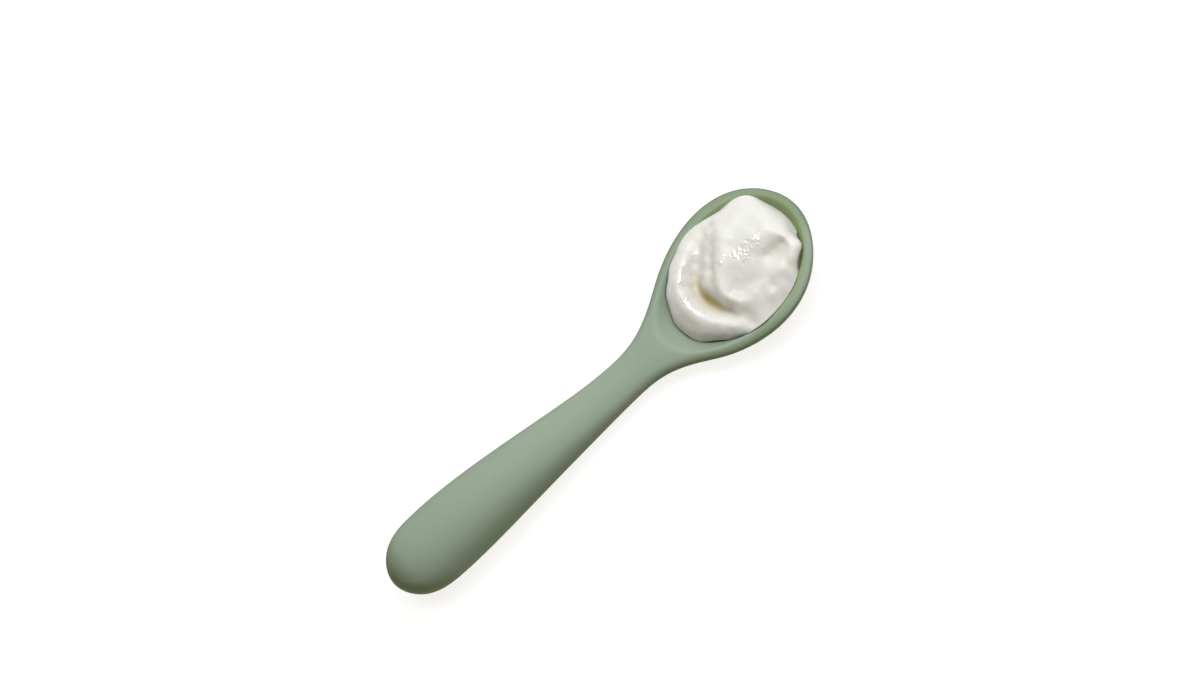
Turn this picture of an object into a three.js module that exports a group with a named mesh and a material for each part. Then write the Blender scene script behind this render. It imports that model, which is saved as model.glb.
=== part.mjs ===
// A soft moulded feeding spoon holding a scoop of white yogurt.
// Millimetres, +Z up. The spoon lies on the ground plane z = 0 with its handle towards -X and its
// tip towards +X, and the origin is on the ground under the middle of its length.
// Lengths called "along" are measured from the handle's end towards the tip.

import * as THREE from "three";

// Spoon: overall length and the outline seen from above, as [along, half width]
const LENGTH = 110;
const HALF_WIDTHS = [
  [0, 0], [3.5, 5.87], [12, 7.74], [32, 6.63], [46, 5.22], [60, 4.26], [65, 4.46],
  [70, 5.74], [75, 8.3], [80, 11.3], [92, 14.66], [103, 11.75], [LENGTH, 0],
];

// Height of the widest line round the spoon, as [along, height]
const SEAM_HEIGHTS = [[0, 7.5], [20, 7.5], [40, 5.9], [60, 4.35], [72, 5.3], [92, 7.9], [LENGTH, 10.15]];

// Roundness of the sections, as [along, height of the half section for each unit of half width]
const CROWN_RATIOS = [[0, 1], [20, 1], [45, 0.92], [60, 0.74], [80, 0.6], [LENGTH, 0.6]];
const BELLY_RATIOS = [
  [0, 1.02], [14, 1.022], [32, 0.95], [60, 0.85], [72, 0.62], [80, 0.515], [92, 0.565], [LENGTH, 0.57],
];

// Flatness of the top, as [along, power]: 0.5 makes an ellipse, and less is flatter with steeper sides
const CROWN_POWERS = [[0, 0.5], [40, 0.5], [60, 0.41], [80, 0.41], [LENGTH, 0.41]];

// Bowl: the rounded crown of the neck becomes a bead round the rim over this stretch
const RIM_STARTS = 58;
const RIM_COMPLETE = 82;
const RIM_BEAD_WIDTH = 1.7;
const RIM_BEAD_HEIGHT = 0.8;
const RIM_SOFTNESS = 0.8;

// Hollow of the bowl: an egg in plan, set in a rim that climbs towards the tip
const HOLLOW_CENTRE = 92.6;
const HOLLOW_TO_HANDLE = 20.4;
const HOLLOW_TO_TIP = 15.8;
const HOLLOW_HALF_WIDTH = 12.8;
const HOLLOW_DEPTH = 7.2;
const HOLLOW_WALL_POWER = 3.4;
const RIM_HEIGHT_AT_HANDLE = 7.5;
const RIM_CLIMB = 0.095;

// Yogurt: clearance to the spoon, the middle of the heap, and its outline seen from above
const YOGURT_GAP = 0.35;
const HEAP_MIDDLE = [92, 0];
const HEAP_OUTLINE = [
  [104.3, 9.8], [105.3, 6.9], [106.2, 4.1], [106.9, 1.5], [107, -1.2], [106.5, -3.6], [106.1, -5.1],
  [106, -6.5], [104.7, -7.6], [103, -8.7], [101.8, -10], [100.6, -11.7], [98.9, -13.6], [95.6, -15],
  [91.2, -15.2], [87.4, -13.6], [85.5, -11.4], [83.5, -10.1], [81.4, -8.5], [79.2, -6.6],
  [76.9, -4.3], [76, -1.4], [75.7, 1.7], [76.9, 4.5], [78.1, 6.8], [80.3, 8.6], [82, 10.2],
  [84.9, 11.4], [88.1, 12.6], [91.3, 12.8], [94.4, 12.1], [98.1, 11.4], [101.5, 11.1],
];

// Width of the band where the top rounds down to the outline
const EDGE_ROUND = 2;

// Marks on the top of the heap, each a line of pins at [along, across, height]
const ROLL = [
  [93.5, 10.3, 10.3], [90.8, 10.4, 10.1], [87.9, 9.1, 10.4], [85.2, 7.2, 10.6], [83, 5, 10.6],
  [81.6, 2.5, 10.5], [81.3, -0.5, 10.2], [81.9, -3.4, 9.9], [83.2, -6.3, 9.5], [84.9, -8.7, 9.1],
];
const ROLL_OUTSIDE = [
  [88.9, 12.3, 9.4], [84.6, 10.4, 9.2], [80.6, 7.6, 8.7], [78, 3.4, 8.2], [77.6, -0.3, 7.7],
  [78.4, -4, 7.4], [80.6, -7, 7.3], [83.6, -9.6, 7.5],
];
const TROUGH = [
  [96.2, 9.6, 11.4], [94.3, 9.4, 10.7], [92.2, 9, 10.2], [89.7, 7.8, 9.6], [87.2, 6.1, 9],
  [85.2, 4.7, 8.5], [83.9, 3.2, 8.2], [83.5, 1.2, 8], [83.9, -1.1, 7.9], [85.1, -3.8, 8.1],
  [86.8, -6.3, 8.8], [88.7, -8.5, 9.7],
];
const FLANK = [
  [92.9, 8.2, 11.3], [91.2, 6.8, 11.1], [89.2, 4.9, 10.8], [87.2, 2.9, 10.5], [85.7, 0.7, 10.1],
];
const CREASE = [
  [93.5, 7.3, 11.9], [92.2, 5.9, 11.6], [90.5, 3.9, 11.3], [89, 2, 11.1], [87.5, 0.2, 11],
];
const DOLLOP_SIDE = [
  [95.1, 7.1, 13], [94, 6, 13.1], [92.6, 4.3, 13], [91.1, 2.5, 12.8], [89.8, 0.9, 12.6],
  [88.8, -0.5, 12.4], [88, -1.7, 12.2],
];
const LIP = [
  [87.6, -2.9, 11.95], [87.7, -4.2, 11.8], [88.3, -5.7, 11.52], [89.3, -7, 11.32],
  [90.9, -7.9, 11.24], [93.1, -8, 11.3], [95.4, -7.7, 11.6], [98.2, -8.2, 11.9],
  [100.7, -8.7, 12.1], [103, -8.6, 12.3],
];
const DOLLOP_TOP = [
  [95, 2.3, 13.4], [97.8, -0.4, 13.5], [99.9, -2.3, 13.2], [92.3, 0.5, 13.1], [94.4, -1.5, 13],
  [96.7, -3.3, 12.7], [98.6, -4.7, 12.35],
];
const SCOOPED_FACE = [
  [90.7, -1.7, 12.4], [92.4, -3.5, 12.1], [94.5, -4.9, 11.9], [89.2, -4.3, 11.7], [90, -6.2, 11.4],
  [91.4, -7, 11.26], [93.4, -7, 11.3], [95.4, -6.4, 11.55],
];
const RIDGE = [
  [97.1, 4.9, 13.5], [99.4, 2.8, 13.7], [101.5, 0.6, 13.8], [103.5, -1.6, 13.8],
  [104.7, -3.7, 13.5],
];
const POCKET = [
  [99.3, -3.9, 12.15], [101.2, -4.4, 12.05], [103.4, -4.3, 12.4],
];
const POINTED_END = [
  [104.3, -5.4, 13], [104.6, -6.7, 12.9], [105.9, -6.6, 12.6],
];
const TIP_SLOPE = [
  [101.1, 4.5, 12.8], [103.9, 2.6, 12.85], [104.2, 0.4, 13.3], [99.7, 8.1, 12.2], [103.5, 5.7, 12],
  [104.8, 1.6, 12.4], [105.2, -2.2, 12.9], [96.9, 7.9, 12.4],
];
const TIP_EDGE = [
  [96.9, 10.4, 10.5], [100.4, 10.1, 10.6], [103.6, 8.7, 10.9], [105.2, 5.9, 10.5], [106, 1.5, 10.8],
  [106.2, -3.2, 11],
];
const STEP_BELOW_LIP = [
  [93.8, -8.9, 10.95], [96.5, -8.9, 11], [99.2, -9.6, 11.2],
];
const LOWER_LAYER = [
  [92.2, -9.6, 10.5], [95, -10, 10.8], [97.8, -10.4, 10.8], [100, -10, 11], [101.6, -9, 11.5],
];
const RIGHT_EDGE = [
  [85.6, -10.9, 8.4], [89.4, -12.3, 8.9], [93.1, -12.5, 9.1], [96.2, -12.1, 9.3],
  [99.3, -11.4, 9.75], [84.9, -6.9, 8.9], [87.2, -9.4, 9.1], [88.4, -10.9, 8.7], [90.6, -10.8, 9.8],
];
const PINS = [
  ROLL, ROLL_OUTSIDE, TROUGH, FLANK, CREASE, DOLLOP_SIDE, LIP, DOLLOP_TOP, SCOOPED_FACE, RIDGE,
  POCKET, POINTED_END, TIP_SLOPE, TIP_EDGE, STEP_BELOW_LIP, LOWER_LAYER, RIGHT_EDGE,
].flat();
const SHEET_SLACK = 0.02;

// Fineness of the surfaces
const HANDLE_SECTIONS = 22;
const BOWL_SECTIONS = 34;
const POINTS_OVER_TOP = 22;
const POINTS_UNDER = 14;
const YOGURT_SPOKES = 64;
const YOGURT_RINGS = 18;
const SLOPE_STEP = 0.01;
const REACH_ACCURACY = 0.01;

// Smooth curve through [position, value] stations, straight at both ends
function smoothThrough(stations) {
  const count = stations.length;
  const bend = new Array(count).fill(0);
  const carry = new Array(count).fill(0);
  for (let i = 1; i < count - 1; i++) {
    const [[x0, v0], [x1, v1], [x2, v2]] = stations.slice(i - 1, i + 2);
    const share = (x1 - x0) / (x2 - x0);
    const pivot = share * bend[i - 1] + 2;
    const kink = (v2 - v1) / (x2 - x1) - (v1 - v0) / (x1 - x0);
    bend[i] = (share - 1) / pivot;
    carry[i] = (6 * kink / (x2 - x0) - share * carry[i - 1]) / pivot;
  }
  for (let i = count - 2; i >= 0; i--) bend[i] = bend[i] * bend[i + 1] + carry[i];
  bend[count - 1] = 0;
  return (x) => {
    let i = 0;
    while (i < count - 2 && x > stations[i + 1][0]) i++;
    const [x0, v0] = stations[i];
    const [x1, v1] = stations[i + 1];
    const span = x1 - x0;
    const a = (x1 - x) / span;
    const b = (x - x0) / span;
    const curved = (a ** 3 - a) * bend[i] + (b ** 3 - b) * bend[i + 1];
    return a * v0 + b * v1 + curved * span * span / 6;
  };
}

const widthSquared = smoothThrough(HALF_WIDTHS.map(([along, half]) => [along, half * half]));
const seamHeight = smoothThrough(SEAM_HEIGHTS);
const crownRatio = smoothThrough(CROWN_RATIOS);
const crownPower = smoothThrough(CROWN_POWERS);
const bellyRatio = smoothThrough(BELLY_RATIOS);

// Lower of two heights with the corner between them rounded
function softLower(a, b, softness) {
  const overlap = Math.max(softness - Math.abs(a - b), 0) / softness;
  return Math.min(a, b) - overlap * overlap * softness / 4;
}

// Square of the half chord at a point of the outline: zero on the outline, positive inside it
function insideOutline(along, across) {
  return Math.max(widthSquared(along) - across * across, 0);
}

// Distance in from the outline, near it
function distanceIn(along, across) {
  const rise = widthSquared(along + SLOPE_STEP) - widthSquared(along - SLOPE_STEP);
  const steepness = Math.hypot(rise / (2 * SLOPE_STEP), 2 * across);
  return insideOutline(along, across) / Math.max(steepness, Number.EPSILON);
}

function hollowHeight(along, across, gap = 0) {
  const reach = (along < HOLLOW_CENTRE ? HOLLOW_TO_HANDLE : HOLLOW_TO_TIP) - gap;
  const fraction = Math.hypot((along - HOLLOW_CENTRE) / reach, across / (HOLLOW_HALF_WIDTH - gap));
  const rim = RIM_HEIGHT_AT_HANDLE + RIM_CLIMB * (along - HOLLOW_CENTRE + HOLLOW_TO_HANDLE);
  return rim + gap + HOLLOW_DEPTH * (fraction ** HOLLOW_WALL_POWER - 1);
}

function spoonTop(along, across) {
  const half = Math.sqrt(widthSquared(along));
  const inside = insideOutline(along, across) / (half * half);
  const crown = crownRatio(along) * half * inside ** crownPower(along);
  const into = Math.min(distanceIn(along, across) / RIM_BEAD_WIDTH, 1);
  const bead = RIM_BEAD_HEIGHT * Math.sqrt(1 - (1 - into) ** 2);
  const asRim = THREE.MathUtils.smoothstep(along, RIM_STARTS, RIM_COMPLETE);
  const solid = seamHeight(along) + THREE.MathUtils.lerp(crown, bead, asRim);
  return along < RIM_STARTS ? solid : softLower(solid, hollowHeight(along, across), RIM_SOFTNESS);
}

function spoonUnderside(along, across) {
  const belly = bellyRatio(along) * Math.sqrt(insideOutline(along, across));
  return Math.max(seamHeight(along) - belly, 0);
}

// Closed skin from one end point, over a run of equal rings, to the other end point
// Each four-sided patch is split along its shorter diagonal, so that steep places stay smooth
function closedSkin(startPoint, rings, endPoint) {
  const size = rings[0].length;
  const points = [startPoint, ...rings.flat(), endPoint];
  const last = points.length - 1;
  const triangles = [];
  const at = (ring, k) => 1 + ring * size + (k % size);
  for (let k = 0; k < size; k++) {
    triangles.push(0, at(0, k + 1), at(0, k));
    triangles.push(last, at(rings.length - 1, k), at(rings.length - 1, k + 1));
    for (let ring = 0; ring < rings.length - 1; ring++) {
      const [a, b, c, d] = [at(ring, k), at(ring, k + 1), at(ring + 1, k + 1), at(ring + 1, k)];
      if (points[a].distanceTo(points[c]) <= points[b].distanceTo(points[d])) {
        triangles.push(a, b, c, a, c, d);
      } else {
        triangles.push(a, b, d, b, c, d);
      }
    }
  }
  const geometry = new THREE.BufferGeometry().setFromPoints(points);
  geometry.setIndex(triangles);
  geometry.computeVertexNormals();
  return geometry;
}

// One section of the spoon, from its left edge over the top to the right edge and back underneath
function spoonSection(along) {
  const half = Math.sqrt(widthSquared(along));
  const section = [];
  for (let i = 0; i < POINTS_OVER_TOP; i++) {
    const across = half * Math.cos(Math.PI * i / POINTS_OVER_TOP);
    section.push(new THREE.Vector3(along, across, spoonTop(along, across)));
  }
  for (let i = 0; i < POINTS_UNDER; i++) {
    const across = -half * Math.cos(Math.PI * i / POINTS_UNDER);
    section.push(new THREE.Vector3(along, across, spoonUnderside(along, across)));
  }
  return section;
}

function spoonGeometry() {
  const sections = [];
  for (let i = 1; i <= HANDLE_SECTIONS; i++) {
    const fraction = 1 - Math.cos(Math.PI / 2 * i / HANDLE_SECTIONS);
    sections.push(spoonSection(RIM_STARTS * fraction));
  }
  for (let i = 1; i < BOWL_SECTIONS; i++) {
    const fraction = Math.sin(Math.PI / 2 * i / BOWL_SECTIONS);
    sections.push(spoonSection(THREE.MathUtils.lerp(RIM_STARTS, LENGTH, fraction)));
  }
  const handleEnd = new THREE.Vector3(0, 0, seamHeight(0));
  const tip = new THREE.Vector3(LENGTH, 0, seamHeight(LENGTH));
  return closedSkin(handleEnd, sections, tip);
}

// Answers of a square system of equations, by elimination from the row with the largest share
function solve(rows, totals) {
  const count = rows.length;
  const system = rows.map((row, i) => [...row, totals[i]]);
  for (let column = 0; column < count; column++) {
    let best = column;
    for (let i = column + 1; i < count; i++) {
      if (Math.abs(system[i][column]) > Math.abs(system[best][column])) best = i;
    }
    [system[column], system[best]] = [system[best], system[column]];
    for (let i = column + 1; i < count; i++) {
      const share = system[i][column] / system[column][column];
      for (let k = column; k <= count; k++) system[i][k] -= share * system[column][k];
    }
  }
  const answers = new Array(count).fill(0);
  for (let i = count - 1; i >= 0; i--) {
    let rest = system[i][count];
    for (let k = i + 1; k < count; k++) rest -= system[i][k] * answers[k];
    answers[i] = rest / system[i][i];
  }
  return answers;
}

// Height of a thin springy sheet laid over the pins, which bends as little as it can
function springySheet(pins) {
  const pull = (away) => (away > 0 ? away * away * Math.log(away) : 0);
  const apart = (from, to) => Math.hypot(from[0] - to[0], from[1] - to[1]);
  const rows = pins.map((pin, i) => {
    const pulls = pins.map((other, k) => (i === k ? SHEET_SLACK : pull(apart(pin, other))));
    return [...pulls, 1, pin[0], pin[1]];
  });
  rows.push([...pins.map(() => 1), 0, 0, 0]);
  rows.push([...pins.map((pin) => pin[0]), 0, 0, 0]);
  rows.push([...pins.map((pin) => pin[1]), 0, 0, 0]);
  const weights = solve(rows, [...pins.map((pin) => pin[2]), 0, 0, 0]);
  const [level, tiltAlong, tiltAcross] = weights.slice(pins.length);
  return (along, across) => {
    let height = level + tiltAlong * along + tiltAcross * across;
    pins.forEach((pin, i) => { height += weights[i] * pull(apart([along, across], pin)); });
    return height;
  };
}

const yogurtSheet = springySheet(PINS);

// Distance from the middle of the heap to its outline, by bearing
function reachByBearing(outline) {
  const once = outline.map(([along, across]) => {
    const fromMiddle = [along - HEAP_MIDDLE[0], across - HEAP_MIDDLE[1]];
    return [Math.atan2(fromMiddle[1], fromMiddle[0]), Math.hypot(...fromMiddle)];
  });
  once.sort((a, b) => a[0] - b[0]);
  const turns = [-2 * Math.PI, 0, 2 * Math.PI];
  return smoothThrough(turns.flatMap((turn) => once.map(([bearing, reach]) => [bearing + turn, reach])));
}

const outlineReach = reachByBearing(HEAP_OUTLINE);

function heapPoint(bearing, distance) {
  return [HEAP_MIDDLE[0] + distance * Math.cos(bearing), HEAP_MIDDLE[1] + distance * Math.sin(bearing)];
}

function yogurtUnderside(along, across) {
  return hollowHeight(along, across, YOGURT_GAP);
}

// How far out along one bearing the heap goes: to its outline, or to the hollow if that comes first
function yogurtReach(bearing) {
  const outline = outlineReach(bearing);
  const clear = (distance) => {
    const point = heapPoint(bearing, distance);
    return yogurtSheet(...point) > yogurtUnderside(...point);
  };
  if (clear(outline)) return outline;
  let near = 0;
  let far = outline;
  while (far - near > REACH_ACCURACY) {
    const middle = (near + far) / 2;
    if (clear(middle)) near = middle;
    else far = middle;
  }
  return near;
}

function yogurtGeometry() {
  const turn = 2 * Math.PI / YOGURT_SPOKES;
  const bearings = Array.from({ length: YOGURT_SPOKES }, (_, i) => turn * i - Math.PI);
  const reaches = bearings.map(yogurtReach);
  const underRing = (fraction) => bearings.map((bearing, i) => {
    const point = heapPoint(bearing, fraction * reaches[i]);
    return new THREE.Vector3(...point, yogurtUnderside(...point));
  });
  const topRing = (fraction) => bearings.map((bearing, i) => {
    const point = heapPoint(bearing, fraction * reaches[i]);
    const under = yogurtUnderside(...point);
    const into = Math.min((1 - fraction) * reaches[i] / EDGE_ROUND, 1);
    const fullness = Math.sqrt(1 - (1 - into) ** 2);
    return new THREE.Vector3(...point, THREE.MathUtils.lerp(under, yogurtSheet(...point), fullness));
  });
  const rings = [];
  for (let i = 1; i <= YOGURT_RINGS; i++) rings.push(underRing(i / YOGURT_RINGS));
  for (let i = YOGURT_RINGS - 1; i > 0; i--) rings.push(topRing(Math.sin(Math.PI / 2 * i / YOGURT_RINGS)));
  const lowest = new THREE.Vector3(...HEAP_MIDDLE, yogurtUnderside(...HEAP_MIDDLE));
  const highest = new THREE.Vector3(...HEAP_MIDDLE, yogurtSheet(...HEAP_MIDDLE));
  return closedSkin(lowest, rings, highest);
}

const silicone = new THREE.MeshStandardMaterial({ color: 0x93a38c, roughness: 0.6, metalness: 0 });
const yogurtWhite = new THREE.MeshStandardMaterial({ color: 0xece8df, roughness: 0.35, metalness: 0 });

const spoon = new THREE.Mesh(spoonGeometry(), silicone);
spoon.name = "spoon";

const yogurt = new THREE.Mesh(yogurtGeometry(), yogurtWhite);
yogurt.name = "yogurt";

const spoonOfYogurt = new THREE.Group();
spoonOfYogurt.name = "spoon_of_yogurt";
spoonOfYogurt.position.x = -LENGTH / 2;
spoonOfYogurt.add(spoon, yogurt);

export default spoonOfYogurt;
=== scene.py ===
# %% [markdown]
# # A feeding spoon with a scoop of yogurt
# The object is a soft one-piece silicone spoon for an infant, lying on its back, with thick white
# yogurt heaped in its bowl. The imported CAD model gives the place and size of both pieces. This lesson
# makes the finer skins that the camera sees, their finishes, the light and the camera.

# %% Load the fixed frame
import math
import bpy
import numpy as np
from mathutils import Matrix, Vector, noise


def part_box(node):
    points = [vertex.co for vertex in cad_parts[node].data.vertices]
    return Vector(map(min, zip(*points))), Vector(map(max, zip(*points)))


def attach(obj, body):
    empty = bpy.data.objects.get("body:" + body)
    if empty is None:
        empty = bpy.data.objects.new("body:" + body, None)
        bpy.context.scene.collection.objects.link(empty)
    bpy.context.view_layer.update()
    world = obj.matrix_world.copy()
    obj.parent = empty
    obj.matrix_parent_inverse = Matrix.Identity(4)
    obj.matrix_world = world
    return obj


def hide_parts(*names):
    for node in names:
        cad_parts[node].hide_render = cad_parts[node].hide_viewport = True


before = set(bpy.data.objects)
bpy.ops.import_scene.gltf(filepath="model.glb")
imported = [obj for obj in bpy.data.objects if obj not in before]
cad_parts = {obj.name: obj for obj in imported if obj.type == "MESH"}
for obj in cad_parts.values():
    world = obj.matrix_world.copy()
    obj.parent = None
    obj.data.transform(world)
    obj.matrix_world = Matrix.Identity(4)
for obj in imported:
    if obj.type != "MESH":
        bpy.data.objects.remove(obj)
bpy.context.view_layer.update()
MM = 0.001
spoon_low, spoon_high = (np.array(corner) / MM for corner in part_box("spoon"))
SPOON_LENGTH = spoon_high[0] - spoon_low[0]
print("spoon length in mm:", round(float(SPOON_LENGTH), 2))

# %% [markdown]
# ## The camera
# The photograph looks down on the spoon from its right side, well off the vertical, with the camera
# rolled so that the spoon climbs across the picture. A long lens keeps the handle and the bowl at
# nearly one scale. The camera's own axes are worked out from three angles, which is easier to adjust
# than a location and a rotation typed in by hand.

# %% Camera at the photograph's angle
SHOT_AZIMUTH = math.radians(20)
SHOT_ELEVATION = math.radians(66)
SHOT_ROLL = math.radians(60.9)
SHOT_CENTRE = Vector((6.45, 8.1, 6.0)) * MM
LENS = 200
PHOTO_WIDTH = 1200
PHOTO_PIXELS_PER_MM = 5.07


def camera_axes(azimuth, elevation, roll):
    """Right, up and backward directions of a camera that orbits the object."""
    back = Vector((math.sin(azimuth) * math.cos(elevation),
                   -math.cos(azimuth) * math.cos(elevation),
                   math.sin(elevation)))
    level = Vector((math.cos(azimuth), math.sin(azimuth), 0))
    upright = back.cross(level)
    right = math.cos(roll) * level - math.sin(roll) * upright
    return right, back.cross(right), back


camera_data = bpy.data.cameras.new("shot")
camera_data.lens = LENS
right, up, back = camera_axes(SHOT_AZIMUTH, SHOT_ELEVATION, SHOT_ROLL)
shot_distance = PHOTO_WIDTH * LENS / (camera_data.sensor_width * PHOTO_PIXELS_PER_MM) * MM
camera = bpy.data.objects.new("shot", camera_data)
camera.matrix_world = Matrix.Translation(SHOT_CENTRE + back * shot_distance) @ Matrix(
    (right, up, back)).transposed().to_4x4()
bpy.context.scene.collection.objects.link(camera)
bpy.context.scene.camera = camera
print("camera distance in m:", round(shot_distance, 3))

# %% [markdown]
# ## Floor and light
# The photograph is a cut-out on white, lit softly from the top of the picture. The lit side is cool, and
# the side that faces away goes dark and olive. One round softbox above the bowl's tip gives that light:
# it is soft because it is large for its distance. It is a little blue, and the weak sky is warm. The
# floor gives off light of its own, so that it stays white where the spoon shades it. A second lamp, from
# overhead, is weak: it is only there to make wet spots sparkle.

# %% Floor
FLOOR_HALF = 6.0
FLOOR_COLOUR = (0.28, 0.28, 0.28, 1)
FLOOR_GLOW_COLOUR = (1.0, 0.98, 0.95, 1)
FLOOR_GLOW = 0.86

floor_mesh = bpy.data.meshes.new("floor")
corners = [(-FLOOR_HALF, -FLOOR_HALF, 0), (FLOOR_HALF, -FLOOR_HALF, 0),
           (FLOOR_HALF, FLOOR_HALF, 0), (-FLOOR_HALF, FLOOR_HALF, 0)]
floor_mesh.from_pydata(corners, [], [(0, 1, 2, 3)])
floor = bpy.data.objects.new("floor", floor_mesh)
bpy.context.scene.collection.objects.link(floor)
floor_paint = bpy.data.materials.new("floor_white")
floor_paint.use_nodes = True
floor_shader = floor_paint.node_tree.nodes["Principled BSDF"]
floor_shader.inputs["Base Color"].default_value = FLOOR_COLOUR
floor_shader.inputs["Roughness"].default_value = 0.9
floor_shader.inputs["Specular IOR Level"].default_value = 0.1
floor_shader.inputs["Emission Color"].default_value = FLOOR_GLOW_COLOUR
floor_shader.inputs["Emission Strength"].default_value = FLOOR_GLOW
floor_mesh.materials.append(floor_paint)
print("floor half size in m:", FLOOR_HALF)

# %% Softbox, sparkle and sky
BOWL_MIDDLE = Vector((25, 0, 8)) * MM
SOFTBOX_TOWARDS, SOFTBOX_HEIGHT = 20, 62
SOFTBOX_POWER, SOFTBOX_COLOUR = 1.49, (0.93, 1.0, 1.09)
SOFTBOX_DISTANCE, SOFTBOX_SIZE = 0.37, 0.38
SPARKLE_TOWARDS, SPARKLE_HEIGHT = 95, 77
SPARKLE_POWER, SPARKLE_COLOUR = 0.9, (1.0, 1.0, 1.0)
SPARKLE_DISTANCE, SPARKLE_SPREAD = 1.0, 24
SKY_COLOUR = (1.0, 0.92, 0.80, 1)
SKY_STRENGTH = 0.11


def add_lamp(name, kind, towards, height, distance):
    """Lamp that looks at the bowl, from an angle round it and a height in degrees."""
    towards = math.radians(towards)
    height = math.radians(height)
    level = math.cos(height)
    direction = Vector((level * math.cos(towards), level * math.sin(towards), math.sin(height)))
    lamp = bpy.data.lights.new(name, kind)
    holder = bpy.data.objects.new(name, lamp)
    holder.location = BOWL_MIDDLE + direction * distance
    holder.rotation_euler = direction.to_track_quat("Z", "Y").to_euler()
    bpy.context.scene.collection.objects.link(holder)
    print(name, "comes from", [round(part, 2) for part in direction])
    return lamp


softbox = add_lamp("softbox", "AREA", SOFTBOX_TOWARDS, SOFTBOX_HEIGHT, SOFTBOX_DISTANCE)
softbox.energy = SOFTBOX_POWER
softbox.color = SOFTBOX_COLOUR
softbox.shape = "DISK"
softbox.size = SOFTBOX_SIZE
sparkle = add_lamp("sparkle", "SUN", SPARKLE_TOWARDS, SPARKLE_HEIGHT, SPARKLE_DISTANCE)
sparkle.energy = SPARKLE_POWER
sparkle.color = SPARKLE_COLOUR
sparkle.angle = math.radians(SPARKLE_SPREAD)
sky = bpy.data.worlds.new("soft_sky")
sky.use_nodes = True
sky_light = sky.node_tree.nodes["Background"]
sky_light.inputs["Color"].default_value = SKY_COLOUR
sky_light.inputs["Strength"].default_value = SKY_STRENGTH
bpy.context.scene.world = sky
bpy.context.scene.view_settings.view_transform = "Standard"

# %% [markdown]
# ## The spoon's shape
# The real spoon is moulded in one piece, so its surfaces flow into each other: a fat round handle, a
# slim neck, and a bowl whose lip is a rounded bead. It could be box-modelled and subdivided, but a few
# stations along its length describe it better. Each station gives a width or a height, and a smooth
# curve runs through them. The skin is then an upper and a lower surface that meet on the outline.

# %% A smooth curve through stations
def smooth_through(stations):
    """Curve through (position, value) stations with an even bend, straight at both ends."""
    spots, values = np.array(stations, float).T
    gaps = np.diff(spots)
    slopes = np.diff(values) / gaps
    count = len(spots)
    system = np.eye(count)
    kinks = np.zeros(count)
    for i in range(1, count - 1):
        system[i, i - 1:i + 2] = gaps[i - 1], 2 * (gaps[i - 1] + gaps[i]), gaps[i]
        kinks[i] = 6 * (slopes[i] - slopes[i - 1])
    bends = np.linalg.solve(system, kinks)

    def curve(x):
        i = np.clip(np.searchsorted(spots, x) - 1, 0, count - 2)
        a = (spots[i + 1] - x) / gaps[i]
        b = 1 - a
        curved = (a ** 3 - a) * bends[i] + (b ** 3 - b) * bends[i + 1]
        return a * values[i] + b * values[i + 1] + curved * gaps[i] ** 2 / 6

    return curve


print("a curve through (0, 0), (1, 2), (3, 1) at 2:",
      round(float(smooth_through([(0, 0), (1, 2), (3, 1)])(2.0)), 3))

# %% Stations of the spoon, in mm from the handle's end
TIP = float(SPOON_LENGTH)
HALF_WIDTHS = [(0, 0), (3.5, 5.87), (12, 7.74), (32, 6.63), (46, 5.22), (60, 4.26), (65, 4.46),
               (70, 5.74), (75, 8.3), (80, 11.3), (92, 14.66), (103, 11.75), (TIP, 0)]
SEAM_HEIGHTS = [(0, 7.5), (20, 7.5), (40, 5.9), (60, 4.35), (72, 5.3), (92, 7.9), (TIP, 10.15)]
CROWN_RATIOS = [(0, 1), (20, 1), (45, 0.92), (60, 0.74), (80, 0.6), (TIP, 0.6)]
CROWN_POWERS = [(0, 0.5), (40, 0.5), (60, 0.41), (80, 0.41), (TIP, 0.41)]
BELLY_RATIOS = [(0, 1.02), (14, 1.022), (32, 0.95), (60, 0.85), (72, 0.62), (80, 0.515),
                (92, 0.565), (TIP, 0.57)]

width_squared = smooth_through([(along, half * half) for along, half in HALF_WIDTHS])
seam_height = smooth_through(SEAM_HEIGHTS)
crown_ratio = smooth_through(CROWN_RATIOS)
crown_power = smooth_through(CROWN_POWERS)
belly_ratio = smooth_through(BELLY_RATIOS)
print("neck width in mm:", round(2 * float(np.sqrt(width_squared(60.0))), 2))

# %% Rounded corners between surfaces
def soft_lower(a, b, softness):
    """Lower of two values, with the corner between them rounded."""
    overlap = np.maximum(softness - np.abs(a - b), 0) / softness
    return np.minimum(a, b) - overlap ** 2 * softness / 4


def soft_higher(a, b, softness):
    """Higher of two values, rounded alike."""
    return -soft_lower(-a, -b, softness)


print("lower of 1 and 1.2, with a softness of 0.8:", round(float(soft_lower(1.0, 1.2, 0.8)), 3))

# %% The bowl's hollow
HOLLOW_CENTRE = 92.6
HOLLOW_TO_HANDLE, HOLLOW_TO_TIP = 20.4, 15.8
HOLLOW_HALF_WIDTH = 12.8
HOLLOW_DEPTH = 7.2
HOLLOW_WALL_POWER = 3.4
RIM_HEIGHT_AT_HANDLE = 7.5
RIM_CLIMB = 0.095


def hollow_height(along, across):
    """Height of the bowl's inside, which steepens into its wall."""
    reach = np.where(along < HOLLOW_CENTRE, HOLLOW_TO_HANDLE, HOLLOW_TO_TIP)
    fraction = np.hypot((along - HOLLOW_CENTRE) / reach, across / HOLLOW_HALF_WIDTH)
    rim = RIM_HEIGHT_AT_HANDLE + RIM_CLIMB * (along - HOLLOW_CENTRE + HOLLOW_TO_HANDLE)
    return rim + HOLLOW_DEPTH * (fraction ** HOLLOW_WALL_POWER - 1)


print("floor of the hollow in mm:", round(float(hollow_height(HOLLOW_CENTRE, 0.0)), 2))

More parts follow.
